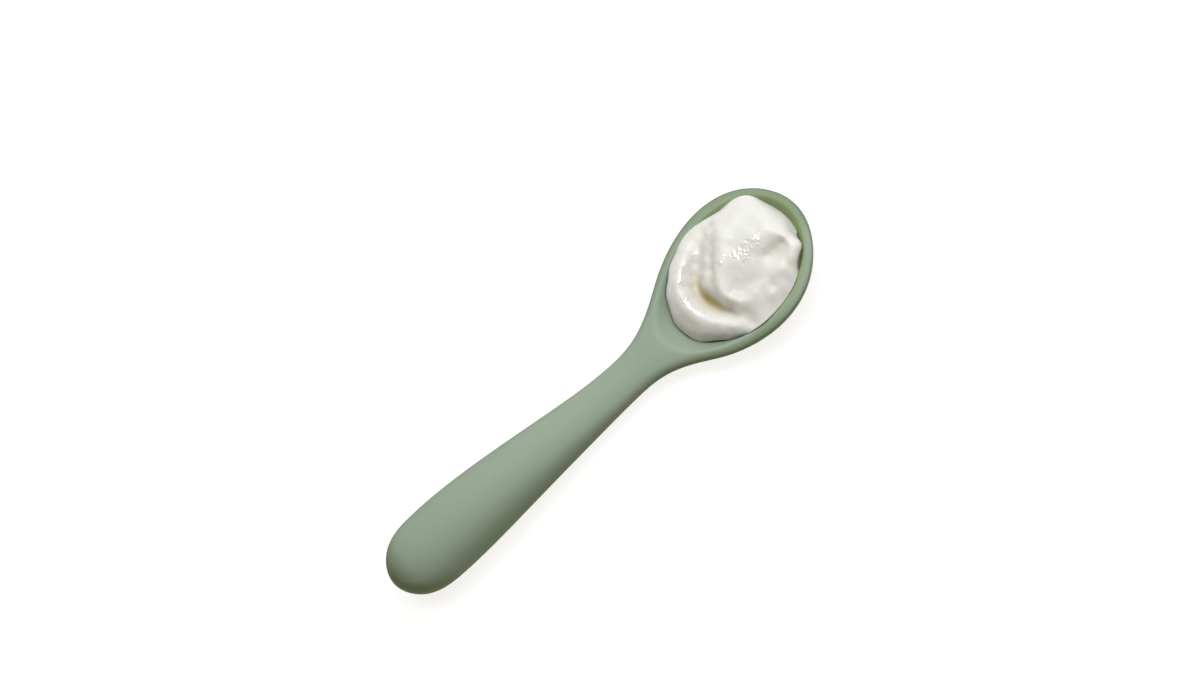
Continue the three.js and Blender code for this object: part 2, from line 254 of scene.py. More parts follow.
# %% Upper and lower surfaces
RIM_STARTS, RIM_COMPLETE = 58, 82
RIM_BEAD_WIDTH, RIM_BEAD_HEIGHT = 1.7, 0.8
RIM_SOFTNESS = 0.8
TINY = 1e-9


def inside_outline(along, across):
    """Zero on the outline and past it, and more further in."""
    return np.maximum(width_squared(along) - across ** 2, 0)


def distance_in(along, across):
    """Distance in from the outline, near it."""
    step = 0.01
    rise = (width_squared(along + step) - width_squared(along - step)) / (2 * step)
    return inside_outline(along, across) / np.maximum(np.hypot(rise, 2 * across), TINY)


def spoon_top(along, across):
    """Crowned handle that turns into a rim bead round the hollow."""
    into = np.minimum(distance_in(along, across) / RIM_BEAD_WIDTH, 1)
    bead = RIM_BEAD_HEIGHT * np.sqrt(1 - (1 - into) ** 2)
    half_squared = np.maximum(width_squared(along), TINY)
    inside = inside_outline(along, across) / half_squared
    crown = crown_ratio(along) * np.sqrt(half_squared) * inside ** crown_power(along)
    blend = np.clip((along - RIM_STARTS) / (RIM_COMPLETE - RIM_STARTS), 0, 1)
    as_rim = blend * blend * (3 - 2 * blend)
    solid = seam_height(along) + crown + (bead - crown) * as_rim
    hollowed = soft_lower(solid, hollow_height(along, across), RIM_SOFTNESS)
    return np.where(along < RIM_STARTS, solid, hollowed)


def spoon_underside(along, across):
    """Belly of the spoon, flat where it rests."""
    belly = belly_ratio(along) * np.sqrt(inside_outline(along, across))
    return np.maximum(seam_height(along) - belly, 0)


bowl_wall = spoon_top(HOLLOW_CENTRE, 0.0) - spoon_underside(HOLLOW_CENTRE, 0.0)
print("wall under the middle of the bowl in mm:", round(float(bowl_wall), 2))

# %% One closed section across the spoon
POINTS_OVER_TOP, POINTS_UNDER = 96, 56


def spoon_section(along):
    """One closed section: over the top from the left edge, then back underneath."""
    half = np.sqrt(width_squared(along))
    over = half * np.cos(np.pi * np.arange(POINTS_OVER_TOP) / POINTS_OVER_TOP)
    under = -half * np.cos(np.pi * np.arange(POINTS_UNDER) / POINTS_UNDER)
    across = np.concatenate([over, under])
    spot = np.full_like(across, along)
    height = np.concatenate([spoon_top(spot[:POINTS_OVER_TOP], over),
                             spoon_underside(spot[POINTS_OVER_TOP:], under)])
    return np.column_stack([spot, across, height])


ring_size = POINTS_OVER_TOP + POINTS_UNDER
print("points round a section:", ring_size)

# %% Sections joined into a skin
HANDLE_SECTIONS, BOWL_SECTIONS = 90, 150


def mesh_piece(name, points_mm, faces):
    """Smooth-shaded object in the scene from points in mm along the spoon."""
    points = np.array(points_mm) + (spoon_low[0], 0, 0)
    mesh = bpy.data.meshes.new(name)
    mesh.from_pydata((points * MM).tolist(), [], faces)
    mesh.validate()
    mesh.polygons.foreach_set("use_smooth", [True] * len(mesh.polygons))
    piece = bpy.data.objects.new(name, mesh)
    bpy.context.scene.collection.objects.link(piece)
    return piece


quarter = np.pi / 2
handle_spots = RIM_STARTS * (1 - np.cos(quarter * np.arange(1, HANDLE_SECTIONS + 1) / HANDLE_SECTIONS))
bowl_share = np.sin(quarter * np.arange(1, BOWL_SECTIONS) / BOWL_SECTIONS)
bowl_spots = RIM_STARTS + (TIP - RIM_STARTS) * bowl_share
spots = np.concatenate([handle_spots, bowl_spots])
spoon_points = np.vstack([[(0, 0, seam_height(0.0))]]
                         + [spoon_section(spot) for spot in spots]
                         + [[(TIP, 0, seam_height(TIP))]])
spoon_faces = []
last_point = len(spoon_points) - 1
last_ring = 1 + (len(spots) - 1) * ring_size
for k in range(ring_size):
    beside = (k + 1) % ring_size
    spoon_faces.append((0, 1 + beside, 1 + k))
    spoon_faces.append((last_point, last_ring + k, last_ring + beside))
    for ring in range(len(spots) - 1):
        here = 1 + ring * ring_size
        there = here + ring_size
        spoon_faces.append((here + k, here + beside, there + beside, there + k))
spoon = mesh_piece("silicone_spoon", spoon_points, spoon_faces)
print("spoon faces:", len(spoon_faces))

# %% [markdown]
# ## Painted bounce light and shade that follow the shape
# The silicone looks yellower on the inner wall towards the tip, where one green wall lights the other,
# and more olive along the outer edges that turn away from the light. Both are painted into the colour,
# as painted bounce light and painted shade. Such tones could be painted on an image. Here each point of
# the mesh carries a number for each of them instead: a finish can read such numbers by name, and they
# stay on the surface from every side.

# %% Painted bounce light and shade on the inner wall, by how deep in the bowl each point lies
SHADE_STARTS, SHADE_COMPLETE = 86, 107
SHADE_EDGE, SHADE_WALL = 0.7, 1.6
CLEAR_AMOUNT = 0.3


def store_on_points(piece, name, values):
    """Gives each point of a piece a number that a finish can read."""
    layer = piece.data.attributes.new(name, "FLOAT", "POINT")
    layer.data.foreach_set("value", values)
    print("points with a clear amount of", name + ":", int((values > CLEAR_AMOUNT).sum()))


point_along = spoon_points[:, 0]
point_across = spoon_points[:, 1]
towards_tip = np.clip((point_along - SHADE_STARTS) / (SHADE_COMPLETE - SHADE_STARTS), 0, 1)
from_edge = distance_in(point_along, point_across)
# painted bounce light and shade: yellower and darker on the inner wall towards the tip
inner_wall_bounce_shade = towards_tip * np.clip((from_edge - SHADE_EDGE) / (SHADE_WALL - SHADE_EDGE), 0, 1)
store_on_points(spoon, "inner_wall_bounce_shade", inner_wall_bounce_shade)

# %% Painted shade along the outer edge and at the handle's end
# painted shade: olive on edges that turn away from the light and on the handle's end; below zero it paints
# light instead
EDGE_SHADE_LEFT = [(0, 0.9), (12, 0.3), (60, 0.0), (76, 0.55), (TIP, 0.75)]
EDGE_SHADE_RIGHT = [(0, 0.9), (12, 0.0), (62, 0.2), (78, 1.0), (88, 0.95), (99, 0.05), (TIP, -0.5)]
EDGE_SHADE_WIDTH = 1.9
END_SHADE, END_SHADE_REACH = 0.9, 6.5
TURN_STARTS, TURN_COMPLETE = -2, -9

on_left = np.interp(point_along, *np.transpose(EDGE_SHADE_LEFT))
on_right = np.interp(point_along, *np.transpose(EDGE_SHADE_RIGHT))
to_right = np.clip((point_across - TURN_STARTS) / (TURN_COMPLETE - TURN_STARTS), 0, 1)
edge_shade_amount = on_left + (on_right - on_left) * to_right
outer_edge_shade = edge_shade_amount * np.clip(1 - from_edge / EDGE_SHADE_WIDTH, 0, 1)
near_end = np.clip(1 - point_along / END_SHADE_REACH, 0, 1)
outer_edge_shade += END_SHADE * near_end * (1 - to_right)
store_on_points(spoon, "outer_edge_shade", outer_edge_shade)

# %% [markdown]
# ## Matte silicone
# Coloured silicone is a soft sage green all through. It has no gloss coat: the mould leaves a fine even
# grain, so light spreads over it, and a little of it enters the surface. The colour runs from olive to
# sage by how far the surface faces up, which is painted shade on the surfaces that face down, with a
# faint drift, less the painted shade on the outer edge, and it is yellower by the painted bounce light
# and shade on the inner wall. On the handle side a thin line of painted shade, nearly black, lies where
# the yogurt meets the silicone. An ambient occlusion node finds it, because it measures how much of the
# space close by is taken up. A very fine bump stands for the grain.

# %% A finish to fill
class Finish:
    """A material, its shader, and what is needed to add nodes to it."""

    def __init__(self, name):
        self.material = bpy.data.materials.new(name)
        self.material.use_nodes = True
        self.nodes = self.material.node_tree.nodes
        self.links = self.material.node_tree.links
        self.shader = self.nodes["Principled BSDF"]
        self.place = self.nodes.new("ShaderNodeTexCoord")

    def feed(self, value, socket):
        """Links another node's output to a socket, or sets the socket to a plain value."""
        if isinstance(value, bpy.types.NodeSocket):
            self.links.new(value, socket)
        else:
            socket.default_value = value


silicone = Finish("sage_silicone")
print("a new finish has the nodes:", [node.name for node in silicone.nodes])

# %% Painted shade by how far the silicone faces up
FACING_DOWN, FACING_UP = -0.2, 0.88


def ramp(finish, value, start, end, at_start=0.0, at_end=1.0):
    """Runs evenly between two numbers, and no further, as value runs from start to end."""
    node = finish.nodes.new("ShaderNodeMapRange")
    node.inputs["From Min"].default_value = start
    node.inputs["From Max"].default_value = end
    node.inputs["To Min"].default_value = at_start
    node.inputs["To Max"].default_value = at_end
    finish.links.new(value, node.inputs["Value"])
    return node.outputs["Result"]


normal_parts = silicone.nodes.new("ShaderNodeSeparateXYZ")
silicone.links.new(silicone.place.outputs["Normal"], normal_parts.inputs["Vector"])
# painted shade: the silicone is olive where it faces down and sage where it faces up
painted_light_by_facing = ramp(silicone, normal_parts.outputs["Z"], FACING_DOWN, FACING_UP)
print("fully sage up to a slope of", round(math.degrees(math.acos(FACING_UP))), "degrees")

# %% A faint drift, less the painted shade on the outer edge
TONE_DRIFT = 0.10
DRIFT_SIZE, DRIFT_DETAIL = 9, 3


def cloudy(finish, size_mm, detail):
    """Noise whose lumps are about size_mm across."""
    node = finish.nodes.new("ShaderNodeTexNoise")
    node.inputs["Scale"].default_value = 1 / (size_mm * MM)
    node.inputs["Detail"].default_value = detail
    finish.links.new(finish.place.outputs["Object"], node.inputs["Vector"])
    return node.outputs["Fac"]


def reckon(finish, operation, *values):
    node = finish.nodes.new("ShaderNodeMath")
    node.operation = operation
    for value, socket in zip(values, node.inputs):
        finish.feed(value, socket)
    return node.outputs["Value"]


def number_on_points(finish, name):
    node = finish.nodes.new("ShaderNodeAttribute")
    node.attribute_name = name
    return node.outputs["Fac"]


drift = cloudy(silicone, DRIFT_SIZE, DRIFT_DETAIL)
drifted = reckon(silicone, "MULTIPLY_ADD", drift, TONE_DRIFT, painted_light_by_facing)
# painted shade on the outer edge and the handle's end is taken off the tone here
less_edge_shade = reckon(silicone, "SUBTRACT", drifted, number_on_points(silicone, "outer_edge_shade"))
print("nodes that choose the tone:", len(silicone.nodes))

# %% Sage, painted olive shade and painted bounce on the inner wall
SILICONE_TOP = (0.293, 0.348, 0.256, 1)
# painted shade: olive for the silicone that faces down or away from the light
SILICONE_SHADED_OLIVE = (0.135, 0.168, 0.080, 1)
# painted bounce light and shade for the inner wall
SILICONE_INNER_BOUNCE_SHADE = (0.250, 0.310, 0.140, 1)


def mix(finish, share, first, second):
    """Colour that goes from the first to the second as share goes from 0 to 1."""
    node = finish.nodes.new("ShaderNodeMix")
    node.data_type = "RGBA"
    for value, name in ((share, "Factor"), (first, "A"), (second, "B")):
        finish.feed(value, node.inputs[name])
    return node.outputs["Result"]


inner_bounce_shade_here = number_on_points(silicone, "inner_wall_bounce_shade")
# painted bounce light and shade on the inner wall
top_and_bounce_tone = mix(silicone, inner_bounce_shade_here, SILICONE_TOP, SILICONE_INNER_BOUNCE_SHADE)
tone_before_contact_shade = mix(silicone, less_edge_shade, SILICONE_SHADED_OLIVE, top_and_bounce_tone)
print("dry silicone nodes:", len(silicone.nodes))

# %% Painted contact shade beside the yogurt
# painted shade: a thin, nearly black line on the silicone where the yogurt meets it, found by ambient
# occlusion
SILICONE_CONTACT_SHADE = (0.030, 0.036, 0.020, 1)
CONTACT_SHADE_WIDTH, CONTACT_SHADE_SAMPLES = 0.7, 16
OPEN_WHERE_SHADED, OPEN_WHERE_UNSHADED = 0.25, 0.65
CONTACT_SHADE_ENDS = 0.22

openness = silicone.nodes.new("ShaderNodeAmbientOcclusion")
openness.samples = CONTACT_SHADE_SAMPLES
openness.inputs["Distance"].default_value = CONTACT_SHADE_WIDTH * MM
clear_of_contact_shade = ramp(silicone, openness.outputs["AO"], OPEN_WHERE_SHADED, OPEN_WHERE_UNSHADED)
past_contact_shade = ramp(silicone, inner_bounce_shade_here, 0.0, CONTACT_SHADE_ENDS)
free_of_contact_shade = reckon(silicone, "MAXIMUM", clear_of_contact_shade, past_contact_shade)
silicone_tone = mix(silicone, free_of_contact_shade, SILICONE_CONTACT_SHADE, tone_before_contact_shade)
# the width printed below is that of the painted contact shade
print("wet line reaches from the yogurt in mm:", CONTACT_SHADE_WIDTH)

# %% The silicone's surface
SILICONE_GRAIN, SILICONE_GRAIN_STRENGTH = 0.35, 0.12
GRAIN_DEPTH, GRAIN_DETAIL = 0.05, 2


def set_shader(finish, values):
    for name, value in values.items():
        finish.feed(value, finish.shader.inputs[name])


def add_grain(finish, size_mm, strength):
    """Fine even bump all over a finish."""
    node = finish.nodes.new("ShaderNodeBump")
    node.inputs["Strength"].default_value = strength
    node.inputs["Distance"].default_value = GRAIN_DEPTH * MM
    finish.links.new(cloudy(finish, size_mm, GRAIN_DETAIL), node.inputs["Height"])
    finish.links.new(node.outputs["Normal"], finish.shader.inputs["Normal"])


set_shader(silicone, {"Base Color": silicone_tone,
                      "Roughness": 0.58,
                      "IOR": 1.41,
                      "Specular IOR Level": 0.08,
                      "Subsurface Weight": 0.12,
                      "Subsurface Radius": (1.0, 0.9, 0.5),
                      "Subsurface Scale": 1.2 * MM})
add_grain(silicone, SILICONE_GRAIN, SILICONE_GRAIN_STRENGTH)
spoon.data.materials.append(silicone.material)
print("silicone finish nodes:", len(silicone.nodes))

# %% [markdown]
# ## The yogurt's shape
# Thick yogurt keeps the marks of scooping: a fat roll curls round the handle side, a trough runs inside
# it, and a dollop with a creased flank and a scooped face lies on top, between a lip and a ridge. It
# could be sculpted by hand, but a script needs marks it can name. So each crest and hollow is a short
# line of pins, given by place and height, and a thin springy sheet is laid over all the pins. Such a
# sheet bends as little as it can, which is how soft food settles.

# %% Lines of pins over the heap, in mm
# Each pin is (distance along the spoon, distance across it to the left, height).
ROLL = [(93.5, 10.3, 10.3), (90.8, 10.4, 10.1), (87.9, 9.1, 10.4), (85.2, 7.2, 10.6), (83.0, 5.0, 10.6),
        (81.6, 2.5, 10.5), (81.3, -0.5, 10.2), (81.9, -3.4, 9.9), (83.2, -6.3, 9.5), (84.9, -8.7, 9.1)]
ROLL_OUTSIDE = [(88.9, 12.3, 9.4), (84.6, 10.4, 9.2), (80.6, 7.6, 8.7), (78.0, 3.4, 8.2),
                (77.6, -0.3, 7.7), (78.4, -4.0, 7.4), (80.6, -7.0, 7.3), (83.6, -9.6, 7.5)]
TROUGH = [(96.2, 9.6, 11.4), (94.3, 9.4, 10.7), (92.2, 9.0, 10.2), (89.7, 7.8, 9.6), (87.2, 6.1, 9.0),
          (85.2, 4.7, 8.5), (83.9, 3.2, 8.2), (83.5, 1.2, 8.0), (83.9, -1.1, 7.9), (85.1, -3.8, 8.1),
          (86.8, -6.3, 8.8), (88.7, -8.5, 9.7)]
FLANK = [(92.9, 8.2, 11.3), (91.2, 6.8, 11.1), (89.2, 4.9, 10.8), (87.2, 2.9, 10.5), (85.7, 0.7, 10.1)]
CREASE = [(93.5, 7.3, 11.9), (92.2, 5.9, 11.6), (90.5, 3.9, 11.3), (89.0, 2.0, 11.1), (87.5, 0.2, 11.0)]
DOLLOP_SIDE = [(95.1, 7.1, 13.0), (94.0, 6.0, 13.1), (92.6, 4.3, 13.0), (91.1, 2.5, 12.8),
               (89.8, 0.9, 12.6), (88.8, -0.5, 12.4), (88.0, -1.7, 12.2)]
LIP = [(87.6, -2.9, 11.95), (87.7, -4.2, 11.8), (88.3, -5.7, 11.52), (89.3, -7.0, 11.32),
       (90.9, -7.9, 11.24), (93.1, -8.0, 11.3), (95.4, -7.7, 11.6), (98.2, -8.2, 11.9),
       (100.7, -8.7, 12.1), (103.0, -8.6, 12.3)]
DOLLOP_TOP = [(95.0, 2.3, 13.4), (97.8, -0.4, 13.5), (99.9, -2.3, 13.2), (92.3, 0.5, 13.1),
              (94.4, -1.5, 13.0), (96.7, -3.3, 12.7), (98.6, -4.7, 12.35)]
SCOOPED_FACE = [(90.7, -1.7, 12.4), (92.4, -3.5, 12.1), (94.5, -4.9, 11.9), (89.2, -4.3, 11.7),
                (90.0, -6.2, 11.4), (91.4, -7.0, 11.26), (93.4, -7.0, 11.3), (95.4, -6.4, 11.55)]
RIDGE = [(97.1, 4.9, 13.5), (99.4, 2.8, 13.7), (101.5, 0.6, 13.8), (103.5, -1.6, 13.8), (104.7, -3.7, 13.5)]
POCKET = [(99.3, -3.9, 12.15), (101.2, -4.4, 12.05), (103.4, -4.3, 12.4)]
POINTED_END = [(104.3, -5.4, 13.0), (104.6, -6.7, 12.9), (105.9, -6.6, 12.6)]
TIP_SLOPE = [(101.1, 4.5, 12.8), (103.9, 2.6, 12.85), (104.2, 0.4, 13.3), (99.7, 8.1, 12.2),
             (103.5, 5.7, 12.0), (104.8, 1.6, 12.4), (105.2, -2.2, 12.9), (96.9, 7.9, 12.4)]
TIP_EDGE = [(96.9, 10.4, 10.5), (100.4, 10.1, 10.6), (103.6, 8.7, 10.9), (105.2, 5.9, 10.5),
            (106.0, 1.5, 10.8), (106.2, -3.2, 11.0)]
STEP_BELOW_LIP = [(93.8, -8.9, 10.95), (96.5, -8.9, 11.0), (99.2, -9.6, 11.2)]
LOWER_LAYER = [(92.2, -9.6, 10.5), (95.0, -10.0, 10.8), (97.8, -10.4, 10.8), (100.0, -10.0, 11.0),
               (101.6, -9.0, 11.5)]
RIGHT_EDGE = [(85.6, -10.9, 8.4), (89.4, -12.3, 8.9), (93.1, -12.5, 9.1), (96.2, -12.1, 9.3),
              (99.3, -11.4, 9.75), (84.9, -6.9, 8.9), (87.2, -9.4, 9.1), (88.4, -10.9, 8.7),
              (90.6, -10.8, 9.8)]

pins = (ROLL + ROLL_OUTSIDE + TROUGH + FLANK + CREASE + DOLLOP_SIDE + LIP + DOLLOP_TOP + SCOOPED_FACE
        + RIDGE + POCKET + POINTED_END + TIP_SLOPE + TIP_EDGE + STEP_BELOW_LIP + LOWER_LAYER + RIGHT_EDGE)
print("pins over the heap:", len(pins))

# %% A springy sheet over the pins
SHEET_SLACK = 0.02


def springy_sheet(pins):
    """Height of a thin springy sheet laid over pins of (along, across, height)."""
    spots, heights = np.array(pins)[:, :2], np.array(pins)[:, 2]
    count = len(pins)

    def pull(away):
        return away ** 2 * np.log(np.maximum(away, TINY))

    between = np.hypot(*(spots[:, None] - spots).transpose(2, 0, 1))
    flat = np.column_stack([np.ones(count), spots])
    system = np.block([[pull(between) + SHEET_SLACK * np.eye(count), flat], [flat.T, np.zeros((3, 3))]])
    weights = np.linalg.solve(system, np.append(heights, np.zeros(3)))
    level, tilt_along, tilt_across = weights[count:]

    def sheet_height(along, across):
        height = level + tilt_along * along + tilt_across * across
        for (pin_along, pin_across), weight in zip(spots, weights):
            height = height + weight * pull(np.hypot(along - pin_along, across - pin_across))
        return height

    return sheet_height


yogurt_top = springy_sheet(pins)
print("top of the heap at its middle in mm:", round(float(yogurt_top(92.0, 0.0)), 2))

# %% [markdown]
# ## From a sheet to a heap
# A sheet has no sides. The heap is what lies below the sheet, inside an outline seen from above, and
# over the bowl's hollow. Boolean cuts could make it, but they leave sharp edges, and yogurt has round
# ones. So the three limits are kept as distances in a block of small cells, where the larger of two
# distances can be taken with a rounded corner. Its sides draw in a little below the rounded edge.

# %% Outline of the heap, seen from above
HEAP_MIDDLE = (92.0, 0.0)
OUTLINE = [(104.3, 9.8), (105.3, 6.9), (106.2, 4.1), (106.9, 1.5), (107.0, -1.2), (106.5, -3.6),
           (106.1, -5.1), (106.0, -6.5), (104.7, -7.6), (103.0, -8.7), (101.8, -10.0), (100.6, -11.7),
           (98.9, -13.6), (95.6, -15.0), (91.2, -15.2), (87.4, -13.6), (85.5, -11.4), (83.5, -10.1),
           (81.4, -8.5), (79.2, -6.6), (76.9, -4.3), (76.0, -1.4), (75.7, 1.7), (76.9, 4.5), (78.1, 6.8),
           (80.3, 8.6), (82.0, 10.2), (84.9, 11.4), (88.1, 12.6), (91.3, 12.8), (94.4, 12.1), (98.1, 11.4),
           (101.5, 11.1)]

outline_from_middle = np.array(OUTLINE) - HEAP_MIDDLE
bearings = np.arctan2(outline_from_middle[:, 1], outline_from_middle[:, 0])
order = np.argsort(bearings)
once_round = np.column_stack([bearings, np.hypot(*outline_from_middle.T)])[order]
full_turn = np.array([2 * np.pi, 0])
outline_reach = smooth_through(np.vstack([once_round - full_turn, once_round, once_round + full_turn]))


def outside_heap(along, across):
    """Distance past the outline, below zero inside it."""
    from_middle = along - HEAP_MIDDLE[0], across - HEAP_MIDDLE[1]
    return np.hypot(*from_middle) - outline_reach(np.arctan2(from_middle[1], from_middle[0]))


print("middle to tip edge in mm:", round(-float(outside_heap(92.0, 0.0)), 2))

# %% The heap as a block of distances
CELL = 0.16
BLOCK_LOW = np.array([73.65, -14.17, 1.13])
BLOCK_HIGH = np.array([109.4, 14.2, 16.0])
HEAP_STARTS, HEAP_LENGTH = 76, 30
EDGE_ROUND_AT_HANDLE, EDGE_ROUND_AT_TIP = 2.2, 1.4
OVERHANG_DEPTH = 1.5
OVERHANG_SLOPE = 0.4
OVERHANG_MOST = 0.3
INTO_WALL = 0.12
WALL_STEEPNESS = 1.6

axes = [np.arange(low, high, CELL) for low, high in zip(BLOCK_LOW, BLOCK_HIGH)]
along_map, across_map = np.meshgrid(axes[0], axes[1], indexing="ij")
top_map = yogurt_top(along_map, across_map)
steepness = np.sqrt(1 + sum(slope ** 2 for slope in np.gradient(top_map, CELL)))
above_top = (axes[2] - top_map[..., None]) / steepness[..., None]
past_outline = outside_heap(along_map, across_map)[..., None]
under_edge = top_map[..., None] - OVERHANG_DEPTH - axes[2]
past_outline = past_outline + np.clip(OVERHANG_SLOPE * under_edge, 0, OVERHANG_MOST)
toward_tip = np.clip((along_map - HEAP_STARTS) / HEAP_LENGTH, 0, 1)
edge_round = EDGE_ROUND_AT_HANDLE + (EDGE_ROUND_AT_TIP - EDGE_ROUND_AT_HANDLE) * toward_tip
heap = soft_higher(above_top, past_outline, edge_round[..., None])
above_hollow = axes[2] - hollow_height(along_map, across_map)[..., None] + INTO_WALL
heap = np.maximum(heap, -above_hollow / WALL_STEEPNESS)
print("yogurt in ml:", round(float((heap < 0).sum() * CELL ** 3 / 1000), 2))

# %% [markdown]
# ## A skin on the heap
# The block holds a distance at every point, and the yogurt's skin runs where that distance is zero.
# Each small cube that the skin crosses gets one point, at the mean of the crossings on its edges, and
# each crossed edge gets one four-sided face between the four cubes round it. This way gives even quads
# with no thin slivers, which take relief and shading well.

# %% Surface nets
def skin_of(field, corner, cell):
    """Points and quads where a block of distances changes sign."""
    cells = tuple(size - 1 for size in field.shape)
    point_sum = np.zeros((np.prod(cells), 3))
    point_count = np.zeros(np.prod(cells))
    quads = []
    for axis in range(3):
        others = [i for i in range(3) if i != axis]
        here = np.moveaxis(field, axis, 0)[:-1]
        beyond = np.moveaxis(field, axis, 0)[1:]
        at = np.array(np.nonzero((here < 0) != (beyond < 0)))
        near, far = here[tuple(at)], beyond[tuple(at)]
        edge = np.zeros((at.shape[1], 3))
        edge[:, axis] = at[0] + near / (near - far)
        edge[:, others[0]], edge[:, others[1]] = at[1], at[2]
        ring = []
        for shift in ((0, 0), (1, 0), (1, 1), (0, 1)):
            cube = np.zeros((3, at.shape[1]), int)
            cube[axis], cube[others[0]], cube[others[1]] = at[0], at[1] - shift[0], at[2] - shift[1]
            index = np.ravel_multi_index(cube, cells)
            np.add.at(point_sum, index, edge)
            np.add.at(point_count, index, 1)
            ring.append(index)
        ring = np.column_stack(ring)
        turned = (near < 0) == (axis == 1)
        ring[turned] = ring[turned][:, ::-1]
        quads.append(ring)
    used = np.flatnonzero(point_count)
    renumber = np.zeros(len(point_count), int)
    renumber[used] = np.arange(len(used))
    points = corner + cell * point_sum[used] / point_count[used, None]
    return points, renumber[np.vstack(quads)]


heap_points, heap_quads = skin_of(heap, BLOCK_LOW, CELL)
print("yogurt points:", len(heap_points), "quads:", len(heap_quads))

# %% [markdown]
# ## Relief
# Strained yogurt is never quite smooth: it has slow swells, small lumps and, where the spoon dragged on
# it, patches of coarse wet grain. All of these are moved into the mesh along each point's normal, so
# that they are part of the shape itself. Only the finest grain is left to the material.

# %% Where wet grains lie
GRAIN_SEED = 5
# Each patch has a middle line of (along, across, half width), a number of grains and their radius.
GRAIN_PATCHES = [
    ([(94.6, 0.3, 1.0), (96.2, -0.7, 1.4), (98.4, -0.6, 1.7), (101.2, -0.8, 0.9)], 46, 0.46),
    ([(91.0, 1.0, 0.5), (92.8, 1.2, 0.6)], 6, 0.40),
    ([(88.9, 7.6, 0.4), (86.0, 7.1, 0.5), (84.0, 6.1, 0.6), (82.6, 4.9, 0.5)], 24, 0.36),
    ([(81.2, 1.6, 0.5), (81.4, -0.6, 0.5), (82.3, -3.0, 0.5)], 14, 0.42),
]
GRAIN_CROWDING = 0.92
GRAIN_SMALLEST, GRAIN_SIZE_RANGE = 0.5, 0.85
GRAIN_LINE_STEPS = 12
TRIES_FOR_EACH_GRAIN = 6


def curve_points(stations, steps):
    """Even steps along a smooth curve through stations of any number of values."""
    stations = np.array(stations, float)
    spots = np.arange(len(stations))
    fine = np.linspace(0, len(stations) - 1, (len(stations) - 1) * steps + 1)
    columns = [smooth_through(list(zip(spots, column)))(fine) for column in stations.T]
    return np.column_stack(columns)


random = np.random.default_rng(GRAIN_SEED)
grains = []
for stations, count, radius in GRAIN_PATCHES:
    middle_line = curve_points(stations, GRAIN_LINE_STEPS)
    for _ in range(TRIES_FOR_EACH_GRAIN * count):
        along, across, half_width = middle_line[random.integers(len(middle_line))]
        turn = 2 * np.pi * random.random()
        reach = half_width * np.sqrt(random.random())
        spot = np.array([along + reach * np.cos(turn), across + reach * np.sin(turn)])
        size = radius * (GRAIN_SMALLEST + GRAIN_SIZE_RANGE * random.random())
        room = GRAIN_CROWDING * radius
        crowded = any(np.hypot(*(spot - other)) < room for other, _ in grains)
        if not crowded and count > 0:
            grains.append((spot, size))
            count -= 1
print("wet grains:", len(grains))

# %% Swells, lumps and grain
SWELLS = [(5.0, 0.16), (1.8, 0.07), (0.8, 0.018)]
GRAIN_STEEPNESS = 0.14
GRAIN_WOBBLE, GRAIN_WOBBLE_SIZES = 0.3, (0.55, 0.62)
RELIEF_FADE = 0.8


def lumps(size):
    """Smooth noise at every point of the heap, with lumps of about this size in mm."""
    return np.array([noise.noise(Vector(point) / size) for point in heap_points])


yogurt = mesh_piece("yogurt_heap", heap_points, heap_quads.tolist())
normals = np.empty(len(heap_points) * 3)
yogurt.data.vertex_normals.foreach_get("vector", normals)
offset = sum(depth * lumps(size) for size, depth in SWELLS)
grain_amount = np.zeros(len(heap_points))
grain_relief = np.zeros(len(heap_points))
wobble = np.column_stack([lumps(size) for size in GRAIN_WOBBLE_SIZES])
wobbled = heap_points[:, :2] + GRAIN_WOBBLE * wobble
for spot, size in grains:
    away = np.hypot(*(wobbled - spot).T) / size
    cap = np.clip(1 - away ** 2, 0, 1) ** 2
    grain_amount = np.maximum(grain_amount, cap)
    grain_relief = np.maximum(grain_relief, GRAIN_STEEPNESS * size * cap)
offset += grain_relief
clear_of_wall = heap_points[:, 2] - hollow_height(heap_points[:, 0], heap_points[:, 1])
offset *= np.clip(clear_of_wall / RELIEF_FADE, 0, 1)
moved = heap_points + normals.reshape(-1, 3) * offset[:, None] + (spoon_low[0], 0, 0)
yogurt.data.vertices.foreach_set("co", (moved * MM).ravel())
yogurt.data.update()
print("deepest relief in mm:", round(float(np.abs(offset).max()), 3))

# %% [markdown]
# ## Moist white yogurt
# Light goes a little way into yogurt before it comes out again, which softens its shadows and
# warms them. Its skin is moist, so the grain sparkles. A little yellow whey has gathered in the deep
# part of the trough, where the colour is also darkened as painted shade, and thin films of painted
# shade in the same tint darken shallow hollows. Whey could be a surface of its own, but it is too thin
# to show an edge. So a number on each point says how much whey and painted shade or grain is there,
# and the finish follows those numbers.

# %% Whey and painted shade in the trough, and painted shade in the hollows
# The trough's whey and painted shade is a line of (along, across, amount), and each spot of painted shade
# is (along, across, radius, amount).
TROUGH_WHEY_AND_SHADE = [(85.6, 4.3, 0.25), (84.7, 2.2, 0.70), (84.5, 0.0, 1.0), (84.9, -2.0, 1.0), (86.1, -4.3, 0.75),
        (87.7, -6.5, 0.40), (89.6, -8.5, 0.25)]
WHEY_AND_SHADE_HALF_WIDTH, WHEY_AND_SHADE_STEPS = 1.5, 8
WHEY_AND_SHADE_TOP, WHEY_AND_SHADE_FADE = 10.4, 1.6
PAINTED_SHADE_SPOTS = [(92.4, -4.0, 3.2, 0.09), (101.6, -4.2, 1.9, 0.32), (98.8, -3.6, 1.9, 0.16),
         (88.4, 3.4, 1.5, 0.17), (91.0, 6.2, 1.5, 0.17), (86.6, 0.6, 1.5, 0.22),
         (88.0, -5.6, 1.3, 0.20), (91.5, -9.0, 1.3, 0.14), (89.7, -5.8, 1.5, 0.15),
         (92.0, -7.2, 1.6, 0.18), (90.0, 10.8, 1.8, 0.10), (94.1, -10.8, 1.8, 0.10)]

